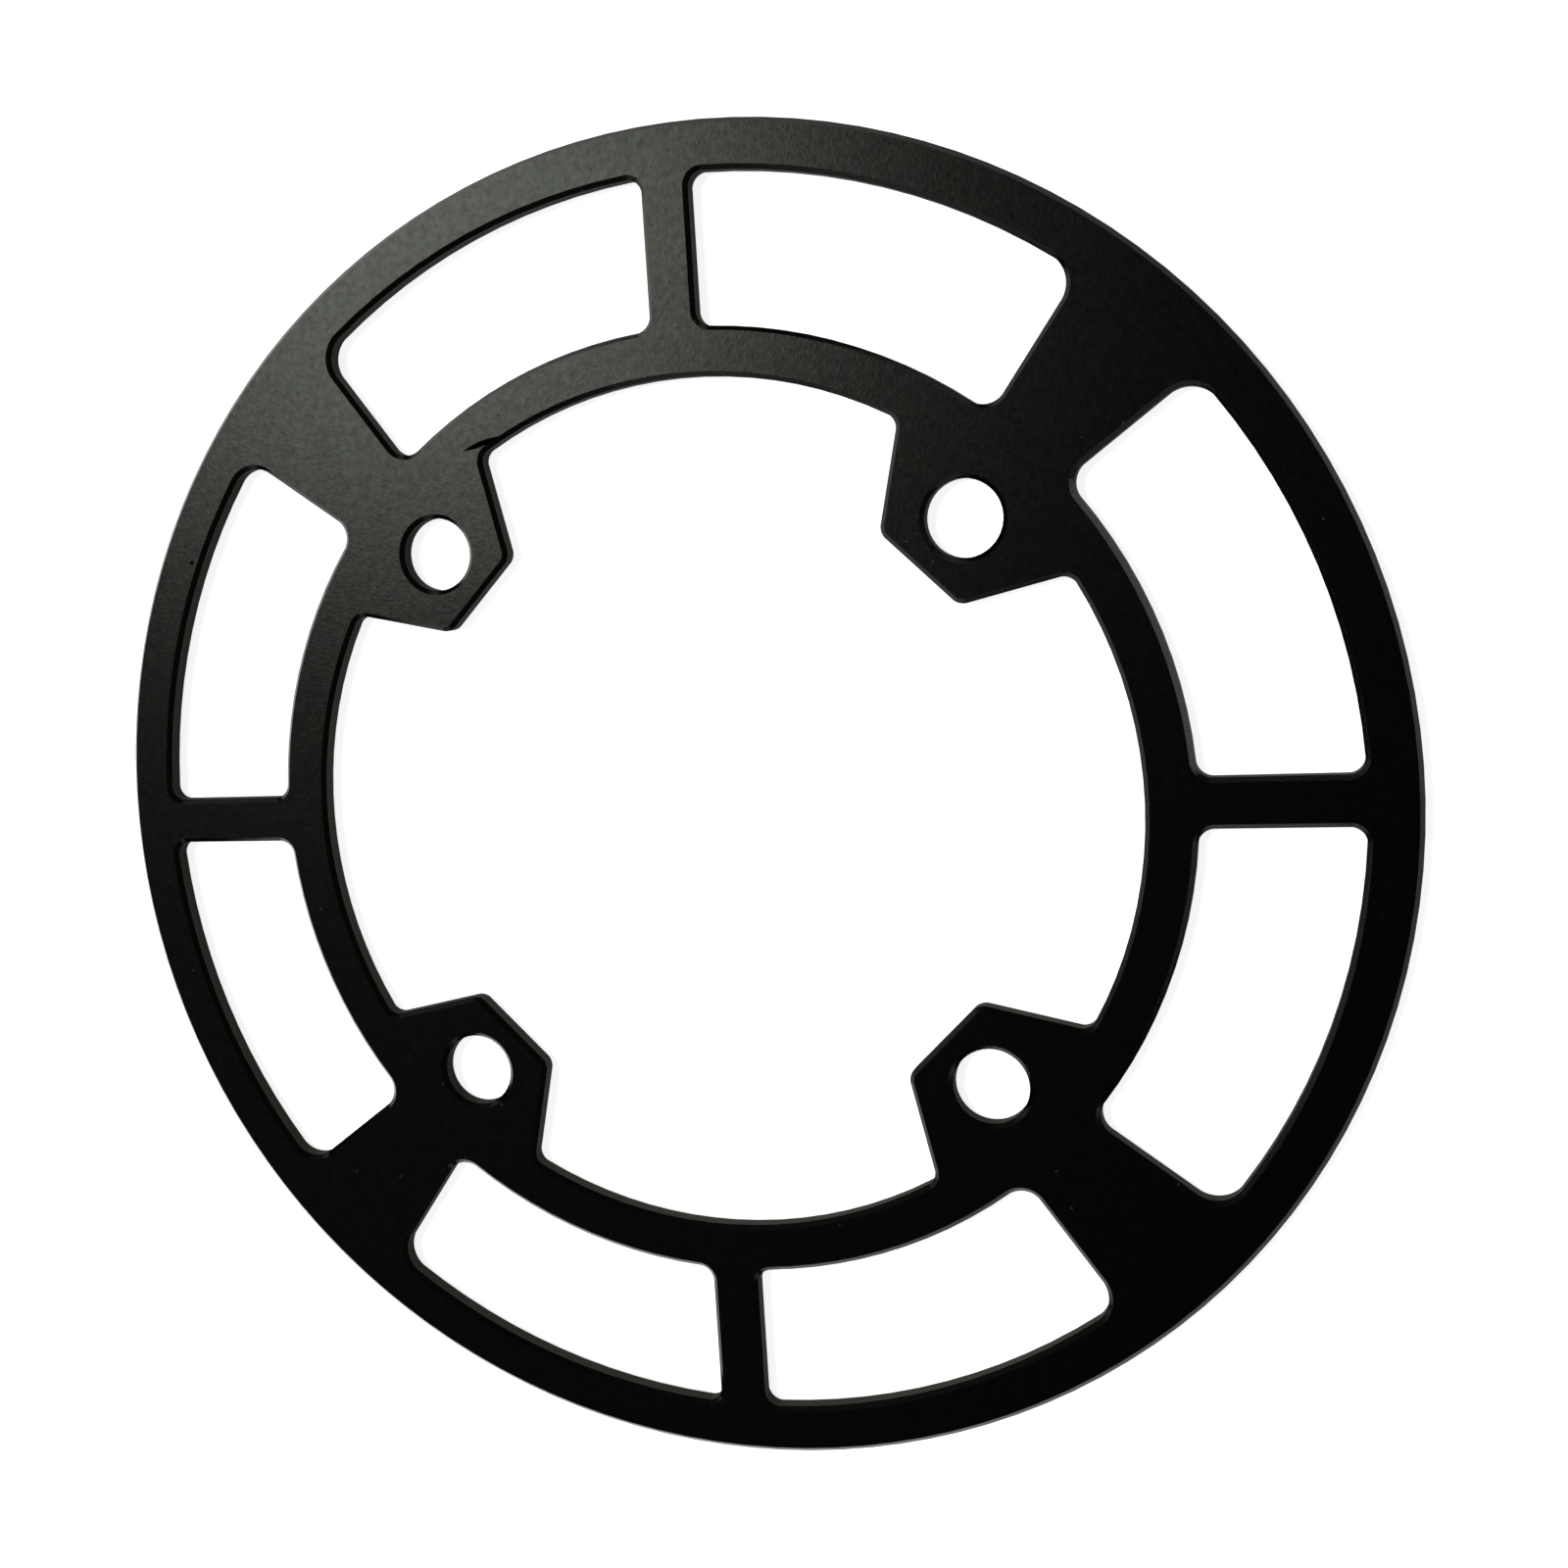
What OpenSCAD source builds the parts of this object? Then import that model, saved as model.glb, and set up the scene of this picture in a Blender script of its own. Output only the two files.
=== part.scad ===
// Chainring guard: one flat ring cut from aluminium plate, bolted outside a bicycle's chainring.
// The ring lies on its back face. Z = 0 is the back, and the front face looks up.
// The four bolt ears stand on the diagonals, and the four plain spokes on the X and Y axes.

/* [Plate] */
// Outer diameter of the guard
outer_d = 180; // [174:1:200]
// Thickness of the plate
plate_t = 3.2; // [2:0.1:4]
// Bevel that breaks every cut edge, on both faces
edge_break = 0.6; // [0.2:0.05:0.8]

/* [Bands and windows] */
// Width of the outer band, from the rim to the windows
outer_band_w = 6.4; // [5:0.1:7]
// Outer diameter of the inner band
inner_band_d = 128; // [126:1:130]
// Width of the inner band
inner_band_w = 6.4; // [6:0.1:7]
// Width of the four plain spokes
spoke_w = 6.4; // [4:0.1:9]
// Width of the four wide spokes, halfway across the windows
arm_w = 15.6; // [13:0.2:20]
// Angle at which each side of a wide spoke flares outwards
arm_flare = 9.25; // [0:0.25:14]
// Corner radius of a window at the rim, beside a wide spoke
corner_arm_outer_r = 4; // [2:0.5:4.5]
// Corner radius of a window at the rim, beside a plain spoke
corner_spoke_outer_r = 2; // [1:0.5:4]
// Corner radius of a window at the inner band, beside a plain spoke
corner_spoke_inner_r = 2.2; // [1:0.2:3]
// Corner radius of a window at the inner band, beside a wide spoke
corner_arm_inner_r = 3; // [1:0.5:4]

/* [Bolt ears] */
// Diameter of the bolt circle
bolt_circle_d = 104; // [103:0.5:105]
// Diameter of each bolt hole
bolt_hole_d = 10; // [8:0.1:11]
// How far an ear reaches inwards from the middle of its hole
ear_reach = 8.5; // [7.5:0.1:9.5]
// Width of an ear's flat tip, measured between its sharp corners
ear_tip_w = 13.8; // [12:0.2:15]
// Angle at which each side of an ear opens towards the band
ear_side_angle = 32.5; // [28:0.5:36]
// Corner radius at an ear's tip
ear_tip_r = 2.2; // [2:0.1:3]
// Fillet between an ear's side and the inner band
ear_root_r = 2; // [1:0.1:3]

/* [Wear on the front face] */
// Distance of the nick's middle from the guard's centre
nick_r = 58.7; // [58.5:0.1:62]
// Angle of the nick's middle around the guard
nick_at = 119; // [100:0.2:150]
// Direction in which the nick runs
nick_dir = 16; // [0:1:180]
// Length of the nick
nick_l = 6; // [2:0.5:8]
// Depth of the nick
nick_depth = 0.4; // [0.1:0.05:0.6]
// Distance of the small pit from the guard's centre
pit_r = 85; // [84.5:0.1:89]
// Angle of the pit around the guard
pit_at = 153.4; // [135:0.2:180]
// Width of the pit
pit_d = 0.6; // [0.4:0.1:1.2]

/* [Hidden] */
$fn = 180;

rim_r = outer_d / 2;
window_outer_r = rim_r - outer_band_w;
window_inner_r = inner_band_d / 2;
opening_r = window_inner_r - inner_band_w;
bolt_r = bolt_circle_d / 2;
ears = 4;
ear_step = 360 / ears;
ear_angle = 45;

// How far a cutting shape runs past a face. What is cut from it in turn runs further.
over = 0.3;
// Larger than the ring, for cutting shapes that are open on one side
far = 2 * rim_r;
// Each rounding stands this far into its two walls, so that it meets them at a clear line
lap = 0.02;
// The bays between the ears and the middle of the opening are cut this far into each other
bay_overlap = 10;

function unit(a) = [cos(a), sin(a)];

// Section of a cut wall from below the back face to above the front face.
// x is the wall's place, and side is 1 where the metal lies towards +x and -1 towards -x.
function wall(x, side, past = over) = [
    [x + side * (edge_break + past), -past],
    [x, edge_break],
    [x, plate_t - edge_break],
    [x + side * (edge_break + past), plate_t + past],
];

function backwards(list) = [for (i = [len(list) - 1 : -1 : 0]) list[i]];

// Centre of a fillet of radius r between a straight wall and a wall on a circle about the origin.
// The straight wall starts at p in direction d, and n points from it towards the fillet's centre.
// side is -1 where the centre is inside that circle and 1 where it is outside.
function fillet_centre(p, d, n, r, circle_r, side) =
    let (w = r - lap, q = p + w * n, along = q * d, reach = circle_r + side * w)
    q + d * (sqrt(along * along - q * q + reach * reach) - along);

// All that lies past a straight wall through p, in the direction a: air, or metal where side is 1
module beyond(p, a, side, past = over) {
    translate([p[0], p[1], 0])
        rotate([0, 0, a])
            rotate([90, 0, 0])
                linear_extrude(height = 2 * far, center = true)
                    polygon(concat(wall(0, side, past), [[far, plate_t + past], [far, -past]]));
}

// A round cut of radius r, bevelled outwards at both faces
module round_cut(r, past = over) {
    rotate_extrude()
        polygon(concat([[0, -past]], wall(r, 1, past), [[0, plate_t + past]]));
}

// A round post of radius r, bevelled inwards at both faces
module round_post(r, past) {
    rotate_extrude()
        polygon(concat([[0, -past]], wall(r, -1, past), [[0, plate_t + past]]));
}

// The block that holds a corner, between two directions u and v from the rounding's centre c
module corner_block(c, r, u, v, past) {
    w = r + edge_break + past + over;
    translate([0, 0, -past])
        linear_extrude(height = plate_t + 2 * past)
            polygon([c, c + w * u, c + w * (u + v) / (1 + u * v), c + w * v]);
}

// Metal that a rounded inside corner leaves standing
module inside_corner(c, r, u, v, past = over) {
    difference() {
        corner_block(c, r, u, v, past);
        translate([c[0], c[1], 0])
            round_cut(r, past);
    }
}

// Air that rounds off an outside corner
module outside_corner(c, r, u, v, past = over) {
    difference() {
        corner_block(c, r, u, v, past);
        translate([c[0], c[1], 0])
            round_post(r, past);
    }
}

// One window, between a wide spoke on the X axis and a plain spoke at half an ear's step
module window() {
    middle_r = (window_outer_r + window_inner_r) / 2;
    arm_n = unit(90 + arm_flare);
    arm_d = unit(arm_flare);
    arm_p = [middle_r, arm_w / 2];
    spoke_a = ear_step / 2;
    spoke_n = unit(spoke_a - 90);
    spoke_d = unit(spoke_a);
    spoke_p = spoke_w / 2 * spoke_n;

    c_ao = fillet_centre(arm_p, arm_d, arm_n, corner_arm_outer_r, window_outer_r, -1);
    c_so = fillet_centre(spoke_p, spoke_d, spoke_n, corner_spoke_outer_r, window_outer_r, -1);
    c_si = fillet_centre(spoke_p, spoke_d, spoke_n, corner_spoke_inner_r, window_inner_r, 1);
    c_ai = fillet_centre(arm_p, arm_d, arm_n, corner_arm_inner_r, window_inner_r, 1);

    difference() {
        intersection() {
            rotate_extrude()
                polygon(concat(wall(window_outer_r, 1), backwards(wall(window_inner_r, -1))));
            beyond(arm_p, 90 + arm_flare, -1);
            beyond(spoke_p, spoke_a - 90, -1);
        }
        inside_corner(c_ao, corner_arm_outer_r, -arm_n, c_ao / norm(c_ao));
        inside_corner(c_so, corner_spoke_outer_r, -spoke_n, c_so / norm(c_so));
        inside_corner(c_si, corner_spoke_inner_r, -spoke_n, -c_si / norm(c_si));
        inside_corner(c_ai, corner_arm_inner_r, -arm_n, -c_ai / norm(c_ai));
    }
}

// Whatever follows, once for each bolt ear
module at_each_ear() {
    for (i = [0 : ears - 1])
        rotate([0, 0, ear_angle + i * ear_step])
            children();
}

// One bolt ear on the X axis, running outwards to the middle of the inner band
module ear() {
    tip_x = bolt_r - ear_reach;
    half_w = ear_tip_w / 2;
    past = 2 * over;
    // How far the rounding's centre lies from the sharp corner, along X and Y
    in_x = ear_tip_r - lap;
    in_y = in_x * tan((90 - ear_side_angle) / 2);
    difference() {
        intersection() {
            translate([0, 0, -2 * past])
                cylinder(r = opening_r + inner_band_w / 2, h = plate_t + 4 * past);
            beyond([tip_x, 0], 0, 1, past);
            beyond([tip_x, half_w], ear_side_angle - 90, 1, past);
            beyond([tip_x, -half_w], 90 - ear_side_angle, 1, past);
        }
        for (side = [-1, 1])
            outside_corner([tip_x + in_x, side * (half_w - in_y)], ear_tip_r,
                [-1, 0], [-sin(ear_side_angle), side * cos(ear_side_angle)], past + over);
    }
}

// The bay between one ear and the next, with a fillet at each ear's root
module bay() {
    side_p = [bolt_r - ear_reach, ear_tip_w / 2];
    side_n = ear_side_angle + 90;
    root_c = fillet_centre(side_p, unit(ear_side_angle), unit(side_n), ear_root_r, opening_r, -1);
    inner_r = opening_r - 2 * bay_overlap;
    difference() {
        intersection() {
            rotate_extrude()
                polygon(concat(wall(opening_r, 1), [[inner_r, plate_t + over], [inner_r, -over]]));
            beyond([0, 0], ear_step / 2, -1);
            beyond(side_p, side_n, -1);
            on_next_ear() beyond(side_p, side_n, -1);
        }
        inside_corner(root_c, ear_root_r, -unit(side_n), root_c / norm(root_c));
        on_next_ear() inside_corner(root_c, ear_root_r, -unit(side_n), root_c / norm(root_c));
    }
}

// Whatever follows, moved from one side of a bay to the other
module on_next_ear() {
    rotate([0, 0, ear_step])
        mirror([0, 1, 0])
            children();
}

// The middle of the opening, as far as the bays, with the four ears standing in it
module centre() {
    difference() {
        round_cut(opening_r - bay_overlap);
        at_each_ear() ear();
    }
}

// The nick, a V as a thin grinding edge leaves it, and the round pit
module wear() {
    edge_r = (nick_l * nick_l / 4 + nick_depth * nick_depth) / (2 * nick_depth);
    rotate([0, 0, nick_at])
        translate([nick_r, 0, plate_t - nick_depth + edge_r])
            rotate([90, 0, nick_dir - nick_at])
                rotate_extrude()
                    polygon([[0, -edge_r], [edge_r, 0], [0, edge_r]]);
    pit_rim_r = pit_d / 2 + over;
    rotate([0, 0, pit_at])
        translate([pit_r, 0, plate_t - pit_d / 2])
            cylinder(r1 = 0, r2 = pit_rim_r, h = pit_rim_r);
}

module guard_plate() {
    color([0.045, 0.048, 0.047])
        difference() {
            rotate_extrude()
                polygon([[0, 0], [rim_r - edge_break, 0], [rim_r, edge_break],
                    [rim_r, plate_t - edge_break], [rim_r - edge_break, plate_t], [0, plate_t]]);
            centre();
            at_each_ear() bay();
            at_each_ear() window();
            at_each_ear() mirror([0, 1, 0]) window();
            at_each_ear() translate([bolt_r, 0, 0]) round_cut(bolt_hole_d / 2);
            wear();
        }
}

guard_plate();
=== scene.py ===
from math import radians

import bpy
import bmesh
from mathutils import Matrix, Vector

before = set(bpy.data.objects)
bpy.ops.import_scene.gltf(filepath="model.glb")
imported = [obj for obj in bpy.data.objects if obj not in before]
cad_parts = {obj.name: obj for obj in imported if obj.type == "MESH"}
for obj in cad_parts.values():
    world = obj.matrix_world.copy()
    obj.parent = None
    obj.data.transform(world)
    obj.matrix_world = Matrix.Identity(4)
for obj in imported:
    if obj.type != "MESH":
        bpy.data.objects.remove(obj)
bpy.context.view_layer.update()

# Camera. The photograph looks down on the front face from a quarter of a metre away, from over
# the guard's right half, so that the cut walls that face right show beside their edges.
view = bpy.data.cameras.new("camera")
view.sensor_width = 36
view.lens = 43.954
view.shift_x = 0.0825
view.shift_y = -0.01155
view.clip_start = 0.01
camera = bpy.data.objects.new("camera", view)
camera.location = (0.08208, 0.03638, 0.24423)
camera.rotation_euler = (radians(-8.052), radians(19.690), radians(-4.142))
bpy.context.collection.objects.link(camera)
bpy.context.scene.camera = camera


# The guard. One flat ring, cut from aluminium plate with its edges broken, bead-blasted and
# anodised black. Its faces have a fine mottled grain with small dark dots and mirror a little
# light. Its cut walls are duller, with faint tool lines around them, and dust has settled on it.
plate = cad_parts["guard_plate"]

face_warm = (0.0089, 0.0086, 0.0079)
face_cool = (0.0082, 0.0087, 0.0082)
dot_black = (0.0045, 0.0048, 0.0044)
bevel_black = (0.0160, 0.0160, 0.0148)
wall_dark = (0.020, 0.019, 0.014)
wall_light = (0.035, 0.034, 0.026)
dust_grey = (0.030, 0.030, 0.028)

face_roughness = 0.24
bevel_roughness = 0.12
wall_roughness = 0.8
relief_height = 0.00001

# How often each pattern repeats in a metre
blotch_scale = 1000
grain_scale = 2100
patch_scale = 300
line_scale = 300
dust_scale = 210

black = bpy.data.materials.new("black_anodised")
black.use_nodes = True
tree = black.node_tree
shader = tree.nodes["Principled BSDF"]
shader.inputs["IOR"].default_value = 1.25

# Where a Mix node takes its two values, and gives their mix, for each kind of value
mix_sockets = {"FLOAT": (2, 3, 0), "RGBA": (6, 7, 2)}


def new_node(kind, **settings):
    node = tree.nodes.new("ShaderNode" + kind)
    for name, value in settings.items():
        setattr(node, name, value)
    return node


def link(source, target):
    tree.links.new(source, target)


def noise(scale, detail=2.0, rough=0.5, vector=None):
    node = new_node("TexNoise")
    node.inputs["Scale"].default_value = scale
    node.inputs["Detail"].default_value = detail
    node.inputs["Roughness"].default_value = rough
    link(vector or place, node.inputs["Vector"])
    return node.outputs["Fac"]


def spread(value, low, high, to_low=0.0, to_high=1.0):
    node = new_node("MapRange", clamp=True)
    link(value, node.inputs["Value"])
    ends = {"From Min": low, "From Max": high, "To Min": to_low, "To Max": to_high}
    for name, number in ends.items():
        node.inputs[name].default_value = number
    return node.outputs["Result"]


def larger(a, b):
    node = new_node("Math", operation="MAXIMUM")
    link(a, node.inputs[0])
    link(b, node.inputs[1])
    return node.outputs["Value"]


def blend(factor, a, b, kind="RGBA"):
    node = new_node("Mix", data_type=kind)
    first, second, result = mix_sockets[kind]
    link(factor, node.inputs["Factor"])
    for index, value in ((first, a), (second, b)):
        socket = node.inputs[index]
        if isinstance(value, tuple):
            socket.default_value = (*value, 1)
        else:
            link(value, socket)
    return node.outputs[result]


def shade(colour, amount):
    node = new_node("VectorMath", operation="SCALE")
    link(colour, node.inputs[0])
    link(amount, node.inputs["Scale"])
    return node.outputs["Vector"]


place = new_node("TexCoord").outputs["Object"]

# A cut wall stands upright, and a bevel slants. Both are told from the faces by how far their
# normal leans away from straight up or down. The second mask covers the walls as well.
normal = new_node("SeparateXYZ")
link(new_node("NewGeometry").outputs["True Normal"], normal.inputs["Vector"])
upward = new_node("Math", operation="ABSOLUTE")
link(normal.outputs["Z"], upward.inputs[0])
wall = spread(upward.outputs["Value"], 0.2, 0.6, to_low=1.0, to_high=0.0)
bevel_or_wall = spread(upward.outputs["Value"], 0.8, 0.95, to_low=1.0, to_high=0.0)

# Grain of the blasted faces: blotches up to a millimetre wide, broader warm and cool patches,
# and dark dots
blotches = spread(noise(blotch_scale, rough=0.6), 0.3, 0.7, to_low=0.8, to_high=1.2)
patches = spread(noise(patch_scale, detail=1), 0.35, 0.65)
mottled = shade(blend(patches, face_warm, face_cool), blotches)
grain = noise(grain_scale)
dots = spread(grain, 0.66, 0.74)
face = blend(dots, mottled, dot_black)

# Tool lines run around the walls, so their pattern is squeezed across the plate's thickness
squeeze = new_node("Mapping")
squeeze.inputs["Scale"].default_value = (1, 1, 14)
link(place, squeeze.inputs["Vector"])
lines = noise(line_scale, vector=squeeze.outputs["Vector"])

# Dust: a few lone specks, a third of a millimetre wide
speck = new_node("TexVoronoi")
speck.inputs["Scale"].default_value = dust_scale
link(place, speck.inputs["Vector"])
dust = spread(speck.outputs["Distance"], 0.02, 0.045, to_low=1.0, to_high=0.0)

metal = blend(bevel_or_wall, face, bevel_black)
clean = blend(wall, metal, blend(lines, wall_dark, wall_light))
link(blend(dust, clean, dust_grey), shader.inputs["Base Color"])

dull = larger(wall, dust)
link(spread(dull, 0.0, 1.0, to_low=1.0, to_high=0.0), shader.inputs["Metallic"])
metal_roughness = spread(bevel_or_wall, 0.0, 1.0, face_roughness, bevel_roughness)
dull_roughness = spread(dull, 0.0, 1.0, 0.0, wall_roughness)
link(larger(metal_roughness, dull_roughness), shader.inputs["Roughness"])

bump = new_node("Bump")
bump.inputs["Strength"].default_value = 1.0
bump.inputs["Distance"].default_value = relief_height
link(blend(wall, grain, lines, "FLOAT"), bump.inputs["Height"])
link(bump.outputs["Normal"], shader.inputs["Normal"])

plate.data.materials.clear()
plate.data.materials.append(black)


# The floor that the guard lies on: a plain white table top that runs out past the view, and
# keeps the guard's own soft shadow.
table_reach = 4
table_white = (0.8, 0.8, 0.8, 1)
# Light that the camera and mirroring surfaces see in the table, on top of what falls on it
table_glow = 0.85

floor_mesh = bpy.data.meshes.new("floor")
form = bmesh.new()
bmesh.ops.create_grid(form, x_segments=1, y_segments=1, size=table_reach)
form.to_mesh(floor_mesh)
form.free()
floor = bpy.data.objects.new("floor", floor_mesh)
bpy.context.collection.objects.link(floor)

white = bpy.data.materials.new("white_table")
white.use_nodes = True
tree = white.node_tree
tree.nodes.clear()
output = new_node("OutputMaterial")
matt = new_node("BsdfDiffuse")
matt.inputs["Color"].default_value = table_white
glow = new_node("Emission")
glow.inputs["Strength"].default_value = table_glow
both = new_node("AddShader")
link(matt.outputs["BSDF"], both.inputs[0])
link(glow.outputs["Emission"], both.inputs[1])
ray = new_node("LightPath").outputs
mirrored = larger(ray["Is Glossy Ray"], ray["Is Transmission Ray"])
mix = new_node("MixShader")
link(larger(ray["Is Camera Ray"], mirrored), mix.inputs["Fac"])
link(matt.outputs["BSDF"], mix.inputs[1])
link(both.outputs["Shader"], mix.inputs[2])
link(mix.outputs["Shader"], output.inputs["Surface"])
floor_mesh.materials.append(white)


# Light. One distant soft box stands up and to the left, where the front face mirrors it. The
# room's walls are pale, and its ceiling is dim and darkest overhead and to the right, so that the
# face falls to near black at the lower right. A long low light stands on the right, where the
# bevels on that side mirror it.
key_from = Vector((-0.436, 0.183, 0.881))
wall_glow = 1.0
ceiling_glow_left = 0.27
ceiling_glow_right = 0.11

lamp = bpy.data.lights.new("key_light", "SUN")
lamp.energy = 1.6
lamp.angle = radians(19.8)
lamp.color = (0.98, 1.0, 0.94)
key = bpy.data.objects.new("key_light", lamp)
key.rotation_euler = key_from.to_track_quat("Z", "Y").to_euler()
bpy.context.collection.objects.link(key)

strip = bpy.data.lights.new("side_light", "AREA")
strip.shape = "RECTANGLE"
strip.size = 2.0
strip.size_y = 0.3
strip.energy = 4
side_light = bpy.data.objects.new("side_light", strip)
side_light.location = (2.0, 0.6, 0.16)
side_light.rotation_euler = side_light.location.to_track_quat("Z", "Y").to_euler()
bpy.context.collection.objects.link(side_light)

# The room is told from the direction of a ray: up to about 7 degrees above the table it meets
# the walls, and past that the ceiling
world = bpy.data.worlds.new("room")
bpy.context.scene.world = world
world.use_nodes = True
tree = world.node_tree
background = tree.nodes["Background"]
background.inputs["Color"].default_value = (1, 1, 1, 1)
direction = new_node("SeparateXYZ")
link(new_node("TexCoord").outputs["Generated"], direction.inputs["Vector"])
walls = spread(direction.outputs["Z"], 0.115, 0.14, wall_glow, 0.0)
ceiling = spread(direction.outputs["X"], -0.5, 0.0, ceiling_glow_left, ceiling_glow_right)
link(larger(walls, ceiling), background.inputs["Strength"])

bpy.context.scene.view_settings.view_transform = "Standard"
